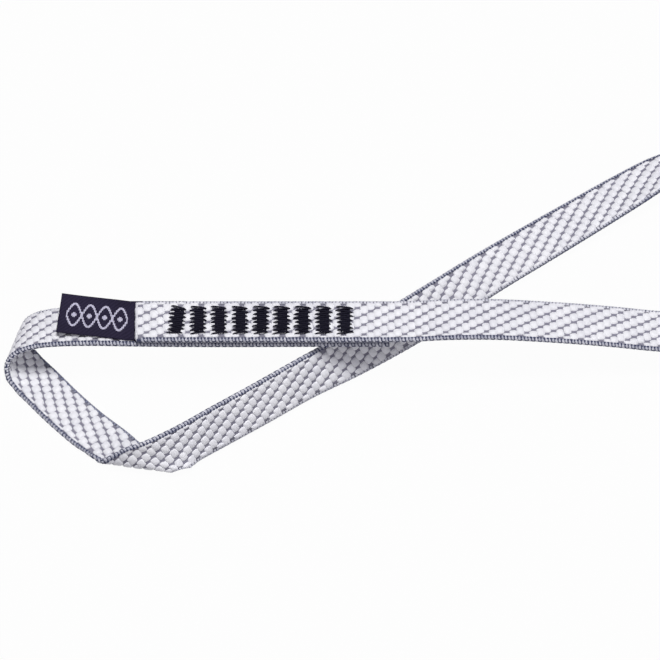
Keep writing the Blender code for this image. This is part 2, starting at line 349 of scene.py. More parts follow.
def repeated(mesh, *counts):
    """A mesh of many copies of a small one, and the points of each copy."""
    holder = bpy.data.objects.new("holder", mesh)
    scene.collection.objects.link(holder)
    repeat = holder.modifiers.new("repeat", "ARRAY")
    repeat.count = math.prod(counts)
    repeat.use_relative_offset = False
    made = bpy.data.meshes.new_from_object(holder.evaluated_get(bpy.context.evaluated_depsgraph_get()))
    bpy.data.objects.remove(holder)
    return made, points_of(made).reshape(*counts, -1, 3)


def finished(name, mesh, finish, body="sling"):
    """An object at the origin, on its body, with its finish."""
    mesh.name = name
    mesh.shade_smooth()
    mesh.materials.clear()
    mesh.materials.append(finish)
    made = bpy.data.objects.new(name, mesh)
    scene.collection.objects.link(made)
    if body:
        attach(made, body)
    triangles = sum(len(face.vertices) - 2 for face in mesh.polygons)
    print(f"{name}: {triangles} triangles")
    return made


# %% [markdown]
# ## Helpers for finishes
#
# Every finish of the cloth is a Principled surface, made by one function. Each effect in it is a node group
# with its own inputs: the fine filaments that a yarn is made of, the slow change of tone that handling
# leaves, and the slanted lines of a twill, which only the label has.

# %% Helpers for nodes
NOISE_LOW = 0.3
NOISE_HIGH = 0.7


def new_finish(name, roughness):
    finish = bpy.data.materials.new(name)
    finish.use_nodes = True
    surface = finish.node_tree.nodes["Principled BSDF"]
    surface.inputs["Roughness"].default_value = roughness
    return finish, finish.node_tree, surface


def add_node(tree, kind, **settings):
    made = tree.nodes.new(kind)
    for name, value in settings.items():
        setattr(made, name, value)
    return made


def join(tree, source, target):
    tree.links.new(source, target)


def combined(tree, operation, first, second):
    """What a Math node makes of two values. Each one is a number or another node's output."""
    made = add_node(tree, "ShaderNodeMath", operation=operation)
    for value, target in zip((first, second), made.inputs):
        if isinstance(value, (int, float)):
            target.default_value = value
        else:
            join(tree, value, target)
    return made.outputs["Value"]


def set_inputs(made, **values):
    for name, value in values.items():
        made.inputs[name.replace("_", " ")].default_value = value


def new_group(name, inputs, outputs):
    """A node group with its sockets, and the two nodes inside it that hold their values."""
    group = bpy.data.node_groups.new(name, "ShaderNodeTree")
    for label, value in inputs.items():
        kind = "NodeSocketVector" if isinstance(value, tuple) else "NodeSocketFloat"
        socket = group.interface.new_socket(label, in_out="INPUT", socket_type=kind)
        socket.default_value = value
    for label in outputs:
        group.interface.new_socket(label, in_out="OUTPUT", socket_type="NodeSocketFloat")
    return group, add_node(group, "NodeGroupInput"), add_node(group, "NodeGroupOutput")


def drawn_out(tree, value):
    """A noise's middle values, drawn out until they run from 0 to 1."""
    spread = add_node(tree, "ShaderNodeMapRange")
    set_inputs(spread, From_Min=NOISE_LOW, From_Max=NOISE_HIGH, To_Min=0.0, To_Max=1.0)
    join(tree, value, spread.inputs["Value"])
    return spread.outputs["Result"]


# %% Node group: the filaments of a yarn
filaments, entry, leave = new_group(
    "yarn_filaments", {"Place": (0, 0, 0), "Length": 2.5, "Fineness": 0.09}, ["Height", "Tone"]
)
size = add_node(filaments, "ShaderNodeCombineXYZ")
join(filaments, entry.outputs["Length"], size.inputs["X"])
join(filaments, entry.outputs["Fineness"], size.inputs["Y"])
join(filaments, entry.outputs["Fineness"], size.inputs["Z"])
shrink = add_node(filaments, "ShaderNodeVectorMath", operation="DIVIDE")
join(filaments, entry.outputs["Place"], shrink.inputs[0])
join(filaments, size.outputs["Vector"], shrink.inputs[1])
strands = add_node(filaments, "ShaderNodeTexNoise")
set_inputs(strands, Scale=1.0, Detail=2.0, Roughness=0.6, Distortion=0.4)
join(filaments, shrink.outputs["Vector"], strands.inputs["Vector"])
join(filaments, strands.outputs["Fac"], leave.inputs["Height"])
join(filaments, drawn_out(filaments, strands.outputs["Fac"]), leave.inputs["Tone"])
print("group:", filaments.name)

# %% Node group: handling
handling, entry, leave = new_group("handling_tone", {"Patch Size": 14.0}, ["Tone"])
where = add_node(handling, "ShaderNodeTexCoord")
shrink = add_node(handling, "ShaderNodeVectorMath", operation="SCALE")
per_patch = combined(handling, "DIVIDE", 1 / MILLI, entry.outputs["Patch Size"])
join(handling, where.outputs["Object"], shrink.inputs[0])
join(handling, per_patch, shrink.inputs["Scale"])
patches = add_node(handling, "ShaderNodeTexNoise")
set_inputs(patches, Scale=1.0, Detail=3.0, Roughness=0.55)
join(handling, shrink.outputs["Vector"], patches.inputs["Vector"])
join(handling, drawn_out(handling, patches.outputs["Fac"]), leave.inputs["Tone"])
print("group:", handling.name)

# %% Node group: the slanted lines of a twill
twill, entry, leave = new_group("twill_lines", {"Place": (0, 0, 0), "Lines": 2.0}, ["Height"])
bands = add_node(twill, "ShaderNodeTexWave", wave_type="BANDS", bands_direction="DIAGONAL")
set_inputs(bands, Distortion=0.6, Detail=1.0)
join(twill, entry.outputs["Place"], bands.inputs["Vector"])
join(twill, entry.outputs["Lines"], bands.inputs["Scale"])
join(twill, bands.outputs["Fac"], leave.inputs["Height"])
print("group:", twill.name)

# %% A yarn's finish, from the groups
BUMP_STRENGTH = 0.5
BUMP_DEPTH = 0.00006


def yarn_finish(name, dark, light, roughness, turned=False, length=2.5, fineness=0.09, shine=0.4, lines=0.0):
    """A finish of fine filaments between two colours. A turned one has its filaments across the tape.

    Where lines isn't 0, it is woven in twill: the lines lie over the filaments and have their own tone.
    """
    finish, tree, surface = new_finish(name, roughness)
    surface.inputs["Specular IOR Level"].default_value = shine
    place = add_node(tree, "ShaderNodeAttribute", attribute_name="cloth")
    source = place.outputs["Vector"]
    if turned:
        split = add_node(tree, "ShaderNodeSeparateXYZ")
        swap = add_node(tree, "ShaderNodeCombineXYZ")
        join(tree, source, split.inputs["Vector"])
        join(tree, split.outputs["X"], swap.inputs["Y"])
        join(tree, split.outputs["Y"], swap.inputs["X"])
        join(tree, split.outputs["Z"], swap.inputs["Z"])
        source = swap.outputs["Vector"]
    strands = add_node(tree, "ShaderNodeGroup", node_tree=filaments)
    set_inputs(strands, Length=length, Fineness=fineness)
    join(tree, source, strands.inputs["Place"])
    worn = add_node(tree, "ShaderNodeGroup", node_tree=handling)
    own = add_node(tree, "ShaderNodeAttribute", attribute_name="tone")
    tones = [strands.outputs["Tone"], worn.outputs["Tone"], own.outputs["Fac"]]
    height = strands.outputs["Height"]
    if lines:
        slanted = add_node(tree, "ShaderNodeGroup", node_tree=twill)
        set_inputs(slanted, Lines=lines)
        join(tree, place.outputs["Vector"], slanted.inputs["Place"])
        tones.append(slanted.outputs["Height"])
        height = combined(tree, "ADD", height, slanted.outputs["Height"])
    total = tones[0]
    for tone in tones[1:]:
        total = combined(tree, "ADD", total, tone)
    mix = add_node(tree, "ShaderNodeMix", data_type="RGBA")
    mix.inputs["A"].default_value = (*dark, 1)
    mix.inputs["B"].default_value = (*light, 1)
    join(tree, combined(tree, "DIVIDE", total, len(tones)), mix.inputs["Factor"])
    join(tree, mix.outputs["Result"], surface.inputs["Base Color"])
    raise_strands = add_node(tree, "ShaderNodeBump")
    set_inputs(raise_strands, Strength=BUMP_STRENGTH, Distance=BUMP_DEPTH)
    join(tree, height, raise_strands.inputs["Height"])
    join(tree, raise_strands.outputs["Normal"], surface.inputs["Normal"])
    return finish


# %% [markdown]
# ## The ground of the tape
#
# Under the white yarn lies a thin grey ground: the binding yarns that hold the tape together, which show as
# short dark bars between the white floats. A flat grid with a little thickness is enough, because the yarns
# over it give the surface. It runs along the whole tape and takes the place of the solid webbing, which is
# hidden.

# %% The ground, woven flat
GROUND_HALF_WIDTH = 0.00505
GROUND_HALF = 0.00038  # half its thickness
GROUND_STEP = 0.0008
GROUND_ACROSS = 10
SEWN_LENGTH = 0.0595
SQUEEZE = 0.0003  # how much fuller the two sewn layers are on the side where they meet
SQUEEZE_PAST = 0.022  # how much further the lower layer stays fuller, under the label
SQUEEZE_FADE = 0.012


def fuller(along, out):
    """More height on the faces that are pressed together in the sewn leg."""
    lower = np.clip((SEWN_LENGTH + SQUEEZE_PAST - along) / SQUEEZE_FADE, 0, 1)
    upper = np.clip((along - (TAPE_LENGTH - SEWN_LENGTH)) / SQUEEZE_FADE, 0, 1)
    more = np.where(out > 0, lower, upper) * SQUEEZE / (WEBBING_THICKNESS / 2)
    return out * (1 + more)


def lay_mesh(mesh, flat, tone=None):
    """Moves a mesh's points from their flat places onto the route."""
    note(mesh, flat, tone)
    raised = flat.copy()
    raised[:, 2] = fuller(flat[:, 0], flat[:, 2])
    move_points(mesh, lay(raised))


build = bmesh.new()
bmesh.ops.create_grid(
    build,
    x_segments=int(TAPE_LENGTH / GROUND_STEP),
    y_segments=GROUND_ACROSS,
    size=0.5,
    matrix=Matrix.Translation((TAPE_LENGTH / 2, 0, GROUND_HALF))
    @ Matrix.Diagonal((TAPE_LENGTH, 2 * GROUND_HALF_WIDTH, 1, 1)),
)
bmesh.ops.solidify(build, geom=build.faces[:], thickness=2 * GROUND_HALF)
bmesh.ops.recalc_face_normals(build, faces=build.faces)
ground_mesh = mesh_of(build, "ground")
print("the ground has", len(ground_mesh.vertices), "points")
lay_mesh(ground_mesh, points_of(ground_mesh))

# %% The ground's finish, and the solid webbing hidden
ground_finish = yarn_finish(
    "grey_binding_yarn", (0.145, 0.142, 0.19), (0.30, 0.293, 0.355), 0.7, turned=True
)
ground = finished("webbing_ground", ground_mesh, ground_finish)
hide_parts("webbing")

# %% [markdown]
# ## The white floats
#
# The white yarn comes up in short floats, about four to a row across the tape. Each row is shifted by a
# third of the distance between them, which makes the slanted lines that the eye sees. One float is the upper
# half of a sphere, squared off, with a few dozen faces. Neighbouring rows overlap a little, so that of the
# ground only short dark ticks show. There are about 1,600 floats on each face, and each one gets its own
# small share of chance: no two are placed, sized or toned quite the same.

# %% Where the floats lie
ROW_PITCH = 0.0016
ROWS = int(TAPE_LENGTH / ROW_PITCH)
FLOAT_PITCH = 0.00273  # across
ROW_SHIFT = 0.00092
FIRST_ROW = 0.0007  # from the upper end, half into its melted bead
FLOAT_HALF_LONG = 0.00100  # reaches just past where the next row's begin
FLOAT_HALF_WIDE = 0.00110
FLOAT_SQUARENESS = (0.56, 0.56, 1.1)
FLOAT_LEAN = math.radians(12)
FLOAT_LIMITS = (-0.00505, 0.00470)  # where the woven edges begin
FLOAT_LEAST = 0.0006  # a narrower one is left out
FLOAT_STEPS = range(-3, 4)  # more than enough to reach both edges
FLOAT_TOP = 0.00067
FLOAT_FOOT = 0.00025
FLOAT_AROUND = 12
FLOAT_RINGS = 6
INNER_OFFSET = 0.0013  # how far the inner face's floats are shifted across


def float_places(offset):
    """Middle along, middle across and share of the full width of every float on one face."""
    places = []
    for row in range(ROWS):
        along = TAPE_LENGTH - FIRST_ROW - row * ROW_PITCH
        shift = (offset - row * ROW_SHIFT) % FLOAT_PITCH
        for step in FLOAT_STEPS:
            middle = shift + step * FLOAT_PITCH
            low = max(middle - FLOAT_HALF_WIDE, FLOAT_LIMITS[0])
            high = min(middle + FLOAT_HALF_WIDE, FLOAT_LIMITS[1])
            if high - low > FLOAT_LEAST:
                places.append((along, (low + high) / 2, (high - low) / (2 * FLOAT_HALF_WIDE)))
    return np.array(places)


def float_mesh():
    """One float of the yarn, one unit each way and one high."""
    build = bmesh.new()
    bmesh.ops.create_uvsphere(build, u_segments=FLOAT_AROUND, v_segments=FLOAT_RINGS, radius=1)
    bmesh.ops.bisect_plane(
        build,
        geom=build.verts[:] + build.edges[:] + build.faces[:],
        plane_co=(0, 0, 0),
        plane_no=(0, 0, 1),
        clear_inner=True,
    )
    for vert in build.verts:
        vert.co = [math.copysign(abs(c) ** power, c) for c, power in zip(vert.co, FLOAT_SQUARENESS)]
    return mesh_of(build, "float")


one_float = float_mesh()
print("a float has", len(one_float.polygons), "faces;", len(float_places(0)), "on a face")


# %% The floats of each face
FLOAT_CHANCE_TURN = math.radians(3)
FLOAT_CHANCE_LONG = 0.03
FLOAT_CHANCE_WIDE = 0.02
FLOAT_CHANCE_HIGH = 0.06
FLOAT_CHANCE_ALONG = 0.00004


def floats_on(face, offset):
    """All the floats of the outer face, 1, or the inner face, -1."""
    places = float_places(offset)
    count = len(places)
    mesh, shape = repeated(one_float, count)
    chance = chances(count, 6)
    turn = FLOAT_LEAN + chance[:, 0] * FLOAT_CHANCE_TURN
    long = FLOAT_HALF_LONG * (1 + FLOAT_CHANCE_LONG * chance[:, 1])
    wide = FLOAT_HALF_WIDE * (1 + FLOAT_CHANCE_WIDE * chance[:, 2])
    high = (FLOAT_TOP - FLOAT_FOOT) * (1 + FLOAT_CHANCE_HIGH * chance[:, 3])
    x = shape[:, :, 0] * long[:, None]
    y = shape[:, :, 1] * wide[:, None] * face
    over = x * np.sin(turn)[:, None] + y * np.cos(turn)[:, None]
    flat = np.empty_like(shape)
    flat[:, :, 0] = places[:, 0, None] + x * np.cos(turn)[:, None] - y * np.sin(turn)[:, None]
    flat[:, :, 1] = places[:, 1, None] + over * places[:, 2, None]
    flat[:, :, 0] += (FLOAT_CHANCE_ALONG * chance[:, 4])[:, None]
    flat[:, :, 2] = (FLOAT_FOOT + shape[:, :, 2] * high[:, None]) * face
    tone = np.repeat((0.5 + CHANCE_TONE * chance[:, 5]).clip(0, 1), shape.shape[1])
    lay_mesh(mesh, flat.reshape(-1, 3), tone)
    return mesh


float_finish = yarn_finish(
    "white_polyethylene_yarn", (0.74, 0.74, 0.79), (0.98, 0.98, 0.99), 0.45, fineness=0.07
)
outer_floats = finished("webbing_outer_floats", floats_on(1, 0.0), float_finish)
inner_floats = finished("webbing_inner_floats", floats_on(-1, INNER_OFFSET), float_finish)

# %% [markdown]
# ## The woven edges
#
# Narrow tape comes off a needle loom, whose two edges differ. On the first edge a dark blue catch yarn knits
# the weft's turns together, which gives a grey-blue line with dark dots. On the other the weft only turns
# round a slate yarn, and it lies paler on the outer face. On both edges the turns are paler on the outer face
# than on the inner: this is partly the yarn, and partly painted light on the outer face and painted shade on
# the inner face. Each yarn is a grid rolled into a tube that swells once in every row. The weft's turn is a
# half ring, spun about the edge, with two straight ends that reach back into the cloth. Where the yarns come
# up, on the sides and beside the first edge, the white float's shape serves again, smaller and dark.

# %% The yarns along the edges
EDGE_MIDDLE = 0.00508
EDGE_RADIUS = 0.00042
EDGE_SWELL = 0.00003
EDGE_FLATNESS = (0.78, 1.1)  # across and out, times the radius
EDGE_AROUND = 10
EDGE_STEPS_A_ROW = 4


def edge_yarn(side):
    """The yarn along the first edge, 1, or the other, -1."""
    build = bmesh.new()
    bmesh.ops.create_grid(
        build,
        x_segments=ROWS * EDGE_STEPS_A_ROW,
        y_segments=EDGE_AROUND,
        size=0.5,
        matrix=Matrix.Translation((0.5, 0.5, 0)),
    )
    for vert in build.verts:
        along = vert.co.x * TAPE_LENGTH
        angle = vert.co.y * 2 * math.pi
        radius = EDGE_RADIUS - EDGE_SWELL * math.cos(2 * math.pi * along / ROW_PITCH)
        vert.co = (
            along,
            side * EDGE_MIDDLE + radius * EDGE_FLATNESS[0] * math.cos(angle),
            radius * EDGE_FLATNESS[1] * math.sin(angle),
        )
    bmesh.ops.remove_doubles(build, verts=build.verts[:], dist=WELD)
    bmesh.ops.recalc_face_normals(build, faces=build.faces)
    mesh = mesh_of(build, "edge_yarn")
    lay_mesh(mesh, points_of(mesh))
    return mesh


dark_finish = yarn_finish("dark_catch_yarn", (0.014, 0.018, 0.05), (0.06, 0.07, 0.15), 0.6)
slate_finish = yarn_finish("slate_edge_yarn", (0.025, 0.026, 0.055), (0.10, 0.10, 0.16), 0.6)
catch_yarn = finished("webbing_catch_yarn", edge_yarn(1), dark_finish)
plain_yarn = finished("webbing_plain_edge_yarn", edge_yarn(-1), slate_finish)

# %% The turns of the weft
TURN_RADIUS = 0.00054
TURN_FLATNESS = 0.72  # of the ring, across the tape
TURN_THICK = 0.00011
TURN_SIDES = 6  # of the yarn's section
TURN_STEPS = 6
TURN_HALF_WIDE = 0.00035
TURN_REACH = 0.00055
TURN_ENDS_LOWER = 0.80
TURN_MIDDLE = 0.00502
TURN_LEAN = 0.5  # how far a turn goes along the tape as it goes round
TURNS_A_ROW = 2
TURN_APART = ROW_PITCH / TURNS_A_ROW
TURN_SIDE_FROM = 0.00538  # further out than this a turn has the side's tone
TURN_SIDE_FADE = 0.00018  # from there inwards, until it has the face's
TURN_CHANCE_WIDE = 0.05
TURN_CHANCE_ALONG = 0.00003
# The face tones are partly the yarn's own, partly painted light on the outer face and painted shade on the
# inner face.
FIRST_EDGE_TONES = (1.3, 0.2, -0.4)  # of the turns on the side, the outer face and the inner face
OTHER_EDGE_TONES = (-0.5, 1.4, -0.6)
FIRST_EDGE_SLIMNESS = 0.94  # the dark catch yarn shows between these turns


def weft_turn():
    """One turn of the weft about the edge: a half ring and its two ends."""
    build = bmesh.new()
    upright = Matrix.Rotation(math.pi / 2, 4, "X")
    bmesh.ops.create_circle(build, segments=TURN_SIDES, radius=1, matrix=upright)
    for vert in build.verts:
        vert.co = (vert.co.x * TURN_HALF_WIDE, 0, vert.co.z * TURN_THICK + TURN_RADIUS)
    ends = bmesh.ops.spin(
        build,
        geom=build.verts[:] + build.edges[:],
        cent=(0, 0, 0),
        axis=(1, 0, 0),
        angle=-math.pi,
        steps=TURN_STEPS,
        use_duplicate=False,
    )
    last = [item for item in ends["geom_last"] if isinstance(item, bmesh.types.BMVert)]
    first = [vert for vert in build.verts if vert.co.z > 0 and abs(vert.co.y) < TINY]
    for ring in (first, last):
        bmesh.ops.translate(build, verts=ring, vec=(0, -TURN_REACH, 0))
        for vert in ring:
            vert.co.z *= TURN_ENDS_LOWER
    for vert in build.verts:
        vert.co.x += vert.co.z * TURN_LEAN
        vert.co.y *= TURN_FLATNESS
    bmesh.ops.translate(build, verts=build.verts[:], vec=(0, TURN_MIDDLE, 0))
    bmesh.ops.recalc_face_normals(build, faces=build.faces)
    return mesh_of(build, "turn")


def turns_mesh():
    """All the turns of both edges, with their tones."""
    mesh, flat = repeated(weft_turn(), 2, ROWS, TURNS_A_ROW)
    chance = chances(2, ROWS, TURNS_A_ROW, 3)
    flat[:, :, :, :, 0] *= 1 + TURN_CHANCE_WIDE * chance[:, :, :, 0, None]
    flat[0, :, :, :, 0] *= FIRST_EDGE_SLIMNESS
    flat[1, :, :, :, :2] *= -1
    flat[:, :, :, :, 0] += ((np.arange(ROWS) + 0.5) * ROW_PITCH)[None, :, None, None]
    flat[:, :, :, :, 0] += ((np.arange(TURNS_A_ROW) - 0.5) * TURN_APART)[None, None, :, None]
    flat[:, :, :, :, 0] += TURN_CHANCE_ALONG * chance[:, :, :, 1, None]
    on_face = ((TURN_SIDE_FROM - np.abs(flat[:, :, :, :, 1])) / TURN_SIDE_FADE).clip(0, 1)
    tone = CHANCE_TONE * chance[:, :, :, 2, None] + np.zeros_like(on_face)
    for edge, (side_tone, outer_tone_and_light, inner_tone_and_shade) in enumerate((FIRST_EDGE_TONES, OTHER_EDGE_TONES)):
        # Outer-face turns get a paler tone and inner-face turns a darker one: partly the yarn, partly painted
        # light and painted shade.
        face_light_and_shade_tone = np.where(flat[edge, :, :, :, 2] > 0, outer_tone_and_light, inner_tone_and_shade)
        tone[edge] += side_tone + (face_light_and_shade_tone - side_tone) * on_face[edge]
    lay_mesh(mesh, flat.reshape(-1, 3), tone.ravel())
    return mesh


turn_finish = yarn_finish("grey_blue_weft", (0.17, 0.185, 0.28), (0.84, 0.84, 0.89), 0.55, turned=True)
turns = finished("webbing_weft_turns", turns_mesh(), turn_finish)

# %% The floats on the sides
SIDE_HALF_LONG = 0.00048
SIDE_HALF_HIGH = 0.00025
SIDE_OUT = 0.00014
SIDE_MIDDLE = 0.00536
SIDE_CHANCE_LONG = 0.08


def side_floats_mesh(side):
    """One float of the edge's yarn at each row, on the first side, 1, or the other, -1."""
    mesh, shape = repeated(one_float, ROWS)
    chance = chances(ROWS, 2)
    flat = np.empty_like(shape)
    flat[:, :, 0] = -side * shape[:, :, 0] * SIDE_HALF_LONG * (1 + SIDE_CHANCE_LONG * chance[:, 0, None])
    flat[:, :, 1] = side * (SIDE_MIDDLE + shape[:, :, 2] * SIDE_OUT)
    flat[:, :, 2] = shape[:, :, 1] * SIDE_HALF_HIGH
    flat[:, :, 0] += (np.arange(ROWS) * ROW_PITCH + SIDE_HALF_LONG)[:, None]
    lay_mesh(mesh, flat.reshape(-1, 3))
    return mesh


catch_floats = finished("webbing_catch_floats", side_floats_mesh(1), dark_finish)
plain_floats = finished("webbing_plain_edge_floats", side_floats_mesh(-1), dark_finish)

# %% The catch yarn's loops on the faces
LOOP_HALF_LONG = 0.00030
LOOP_HALF_WIDE = 0.00019
LOOP_MIDDLE = 0.00478
LOOP_FOOT = 0.00050
LOOP_HIGH = 0.00017
LOOP_CHANCE_SIZE = 0.1
LOOP_CHANCE_ALONG = 0.00004


def catch_loops_mesh():
    """A dark loop in each gap between two turns of the weft, on both faces beside the first edge."""
    count = ROWS * TURNS_A_ROW
    mesh, shape = repeated(one_float, 2, count)
    chance = chances(2, count, 3)
    flat = np.empty_like(shape)
    for i, face in enumerate((1, -1)):
        gaps = np.arange(count) * TURN_APART + face * LOOP_FOOT * TURN_LEAN
        gaps += LOOP_CHANCE_ALONG * chance[i, :, 2]
        sizes = 1 + LOOP_CHANCE_SIZE * chance[i]
        x = shape[i, :, :, 0] * LOOP_HALF_LONG * sizes[:, 0, None]
        y = shape[i, :, :, 1] * LOOP_HALF_WIDE * sizes[:, 1, None]
        flat[i, :, :, 0] = gaps[:, None] + x
        flat[i, :, :, 1] = LOOP_MIDDLE + y * face
        flat[i, :, :, 2] = (LOOP_FOOT + shape[i, :, :, 2] * LOOP_HIGH) * face
    flat[:, :, :, 0] = flat[:, :, :, 0].clip(0, TAPE_LENGTH)
    lay_mesh(mesh, flat.reshape(-1, 3))
    return mesh


catch_loops = finished("webbing_catch_loops", catch_loops_mesh(), dark_finish)

# %% [markdown]
# ## The melted ends
#
# Polyethylene tape is cut with a hot knife, which melts the yarns into one hard, slightly uneven bead, so the
# ends don't fray. Each bead is a grid rolled into a tube across the tape's end, its back inside the tape. It
# narrows to nothing at both edges, and three waves in its radius give the lumps.

# %% The melted ends
BEAD_REACH = 0.00042
BEAD_HALF_HIGH = 0.00062
BEAD_HALF_WIDE = 0.00535
BEAD_AROUND = 12
BEAD_ACROSS = 60
BEAD_BLUNTNESS = 10  # how late it narrows towards the edges
BEAD_BULGE = 0.35  # how far the tube's middle stands out, in reaches
BEAD_SET_IN = 0.0001
BEAD_LUMPS = [
    # share of the radius, radians to the metre, start
    (0.10, 1900.0, 0.4),
    (0.07, 4100.0, 1.9),
    (0.05, 7300.0, 0.8),
]


def melted_end(at, way):
    """The bead on the end of the tape at a distance along it. It faces along, 1, or back, -1."""
    build = bmesh.new()
    bmesh.ops.create_grid(build, x_segments=BEAD_AROUND, y_segments=BEAD_ACROSS, size=0.5)
    for vert in build.verts:
        angle = vert.co.x * 2 * math.pi
        over = vert.co.y * 2 * BEAD_HALF_WIDE
        radius = max(0.0, 1 - (abs(vert.co.y) * 2) ** BEAD_BLUNTNESS) ** 0.5
        radius *= 1 + sum(share * math.sin(over * waves + start) for share, waves, start in BEAD_LUMPS)
        vert.co = (
            at + way * (radius * BEAD_REACH * (BEAD_BULGE + math.cos(angle)) - BEAD_SET_IN),
            over,
            radius * BEAD_HALF_HIGH * math.sin(angle),
        )
    bmesh.ops.remove_doubles(build, verts=build.verts[:], dist=WELD)
    bmesh.ops.recalc_face_normals(build, faces=build.faces)
    mesh = mesh_of(build, "bead")
    lay_mesh(mesh, points_of(mesh))
    return mesh


melted_finish = yarn_finish(
    "melted_polyethylene", (0.50, 0.50, 0.54), (0.84, 0.84, 0.87), 0.28, length=0.5, fineness=0.45, shine=0.5
)
upper_bead = finished("webbing_upper_melted_end", melted_end(TAPE_LENGTH, 1), melted_finish)
lower_bead = finished("webbing_lower_melted_end", melted_end(0.0, -1), melted_finish)

# %% [markdown]
# ## The bar tacks
#
# A bar tack is a zigzag: the thread goes to and fro along the tape while it moves slowly across. The strokes
# touch in the middle, which makes the black bar, and spread into points at both sides. Each stroke here is a
# rod that rises out of its hole, lies over the webbing and goes down again. Six longer stitches run across
# underneath, as the machine lays them first to fill the bar. The bobbin's thread does the same underneath.

# %% The tacks' places and stitches
TACK_COUNT = 9
TACK_PITCH = 0.00493
TACK_FIRST = 0.00945
TACK_LENGTH = 0.0037
TACK_WIDTH = 0.0075
TACK_TEETH = 7
FIRST_TACK_SLANT = math.radians(-8)
UPPER_END_X = (ROUTE[-1][0] - ROUTE_MIDDLE[0]) * ROUTE_UNIT
LEG_Y = (ROUTE[-1][1] - ROUTE_MIDDLE[1]) * ROUTE_UNIT
LEG_HEIGHT = WEBBING_WIDTH + LAYER_PITCH / 2
LEG_HALF = LAYER_PITCH / 2 + WEBBING_THICKNESS / 2
THREAD_RADIUS = 0.00019
THREAD_FLATNESS = 0.92
THREAD_SLIMMER = 0.35  # at a stitch's ends
FILL_OFFSETS = (-0.0007, -0.00033, 0.00004, 0.00041, 0.00078, 0.00115)
FILL_SHORTER = 0.0001  # how far inside the tack's width a filling stitch ends
FILL_RISE = 0.9  # of the thread's radius
FILL_DIVE = 0.0005  # down into the webbing at both ends
STROKE_LONGER = 0.0001  # how far past the tack's length a stroke ends
STROKE_CHANCE = 0.00015
STROKE_RISE = 1.6  # of the thread's radius
STROKE_CHANCE_RISE = 0.2
STROKE_DIVE = 0.00045
STITCH_CHANCE_LIMIT = 1.5
ROD_AROUND = 8
ROD_CUTS = 9
SLIM_POWER = 6  # the higher, the nearer to its ends a stitch gets slim
DIVE_POWER = 5


def stitch_rod():
    """A round rod one long and one in radius, cut across so that it can be arched."""
    build = bmesh.new()
    bmesh.ops.create_cone(
        build,
        cap_ends=True,
        segments=ROD_AROUND,
        radius1=1,
        radius2=1,
        depth=1,
        matrix=Matrix.Rotation(math.pi / 2, 4, "Y"),
    )
    long_edges = [edge for edge in build.edges if abs(edge.verts[0].co.x - edge.verts[1].co.x) > TINY]
    bmesh.ops.subdivide_edges(build, edges=long_edges, cuts=ROD_CUTS, use_grid_fill=True)
    return mesh_of(build, "rod")


one_rod = stitch_rod()


def tack_stitches(chance):
    """Start, end, height and depth of every stitch of a tack."""
    stitches = []
    reach = TACK_WIDTH / 2 - FILL_SHORTER
    for over in FILL_OFFSETS:
        stitches.append(((over, -reach), (over, reach), THREAD_RADIUS * FILL_RISE, FILL_DIVE))
    strokes = 2 * TACK_TEETH
    corners = []
    for i in range(strokes + 1):
        side = 1 if i % 2 else -1
        reach = TACK_LENGTH / 2 + STROKE_LONGER + STROKE_CHANCE * chance[i]
        corners.append((side * reach, TACK_WIDTH * (i / strokes - 0.5)))
    for i in range(strokes):
        rise = THREAD_RADIUS * (STROKE_RISE + STROKE_CHANCE_RISE * chance[i + 2])
        stitches.append((corners[i], corners[i + 1], rise, STROKE_DIVE))
    return stitches


def tack_mesh(place, slant, upside_down, chance):
    """One thread of one tack, on top or underneath."""
    stitches = tack_stitches(chance)
    mesh, shape = repeated(one_rod, len(stitches))
    flat = np.empty_like(shape)
    for i, (start, end, rise, dive) in enumerate(stitches):
        x, y, z = shape[i].T
        share = np.abs(x) * 2
        slim = THREAD_RADIUS * (1 - THREAD_SLIMMER * share**SLIM_POWER)
        run = np.subtract(end, start)
        sideways = np.array([-run[1], run[0]]) / np.linalg.norm(run)
        flat[i, :, :2] = np.add(start, end) / 2 + x[:, None] * run + (y * slim)[:, None] * sideways
        flat[i, :, 2] = z * slim * THREAD_FLATNESS + rise - dive * share**DIVE_POWER
    flat = flat.reshape(-1, 3)
    move_points(mesh, flat)
    note(mesh, flat)
    lift = Matrix.Translation((0, 0, LEG_HALF))
    over = Matrix.Rotation(math.pi if upside_down else 0, 4, "X")
    mesh.transform(Matrix.Translation(place) @ Matrix.Rotation(slant, 4, "Z") @ over @ lift)
    return mesh


# %% The tacks
thread_finish = yarn_finish(
    "black_sewing_thread",
    (0.002, 0.0015, 0.006),
    (0.009, 0.008, 0.020),
    0.5,
    turned=True,
    length=1.2,
    fineness=0.08,
    shine=0.08,
)
for number in range(1, TACK_COUNT + 1):
    place = (UPPER_END_X + TACK_FIRST + (number - 1) * TACK_PITCH, LEG_Y, LEG_HEIGHT)
    slant = FIRST_TACK_SLANT if number == 1 else 0.0
    for kind in ("needle", "bobbin"):
        chance = chances(2 * TACK_TEETH + 3, limit=STITCH_CHANCE_LIMIT)
        name = f"{kind}_stitches_{number}"
        mesh = tack_mesh(place, slant, kind == "bobbin", chance)
        tack = finished(name, mesh, thread_finish)
        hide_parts(f"{kind}_thread_{number}")

# %% [markdown]
# ## The label
#
# The label is a strip of fine dark cloth. Its inner end is sewn in between the layers, and the sheet bends
# out from there and turns aside towards its free end. It is one sheet, placed in the room and on no body.
# Its surface holds a plain twisted band of pale brocade weft: short floats, row by row.

